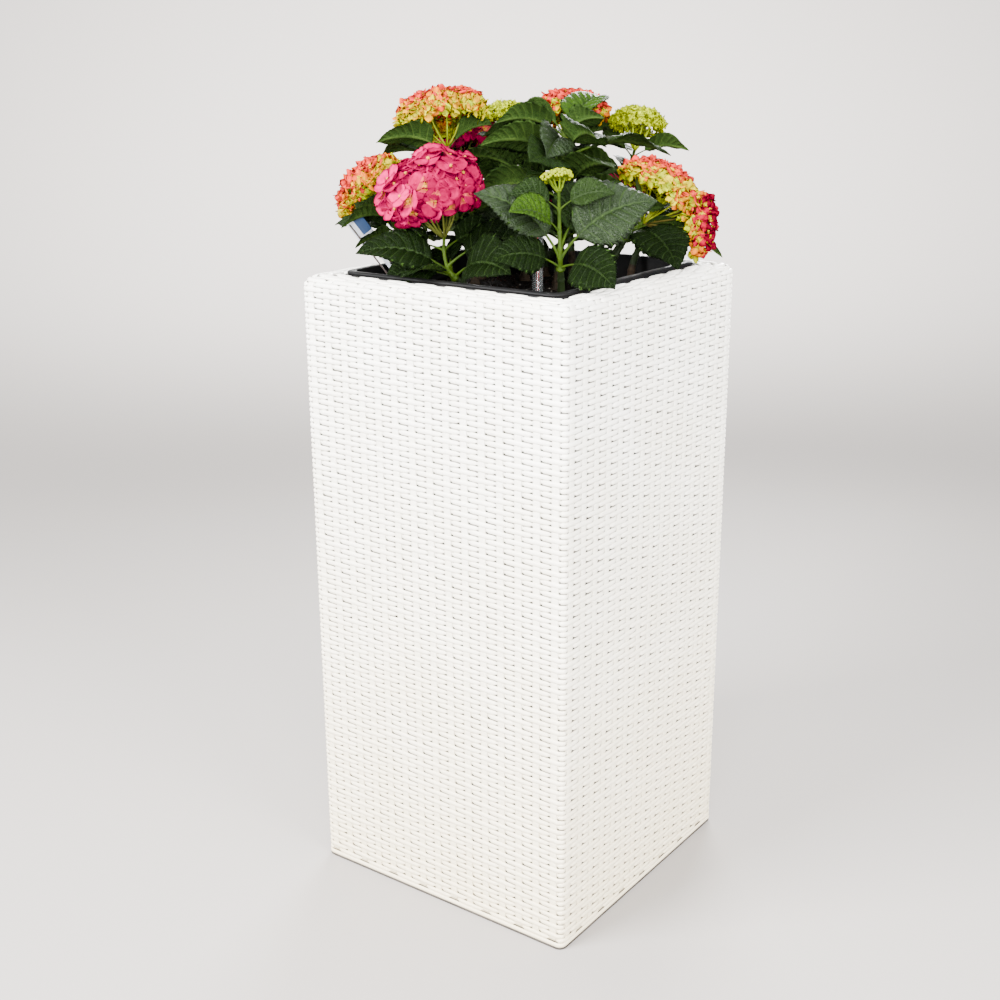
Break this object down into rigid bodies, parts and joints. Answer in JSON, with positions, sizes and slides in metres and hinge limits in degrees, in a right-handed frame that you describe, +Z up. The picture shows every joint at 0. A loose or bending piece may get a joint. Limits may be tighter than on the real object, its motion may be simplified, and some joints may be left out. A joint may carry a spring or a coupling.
{
  "type": "potted hydrangea shrub",
  "caption": "Flowering hydrangea shrub with leafy canes and domed flower heads, growing in a tall square woven planter with a liner, water gauge and plant label.",
  "frame": {"origin": "middle of the planter's flat underside", "axes": "+Z up, +X and +Y square to the planter's sides; the corner between +X and -Y faces the viewer"},
  "size_m": [0.4572, 0.4743, 1.0145],
  "materials": {
    "strand": "satin flat woven strand, warm white",
    "liner": "satin moulded plastic, anthracite",
    "compost": "moist crumbly potting compost",
    "gauge": "clear glossy tube",
    "label": "smooth printed tag",
    "cane": "green to brown soft bark",
    "foliage": "leaves and flower heads"
  },
  "bodies": {
    "root": {"bough_back_left": "cane", "bough_back_right": "cane", "bough_left_inner": "cane", "bough_left_outer": "cane", "bough_right_inner": "cane", "bough_right_outer": "cane", "cane_back_fork": "cane", "cane_back_right": "cane", "cane_centre": "cane", "cane_centre_back": "cane", "cane_crown": "cane", "cane_front_left": "cane", "cane_left": "cane", "cane_left_fork": "cane", "cane_right": "cane", "cane_top": "cane", "cane_upper_left": "cane", "compost": "compost", "liner": "liner", "mass_back_left": "foliage", "mass_back_right": "foliage", "mass_centre": "foliage", "mass_centre_back": "foliage", "mass_crown": "foliage", "mass_far_back": "foliage", "mass_far_left": "foliage", "mass_front_left": "foliage", "mass_left": "foliage", "mass_left_back": "foliage", "mass_right": "foliage", "mass_right_back": "foliage", "mass_top": "foliage", "mass_upper_left": "foliage", "plant_label": "label", "water_gauge": "gauge", "woven_planter": "strand"}
  },
  "joints": []
}
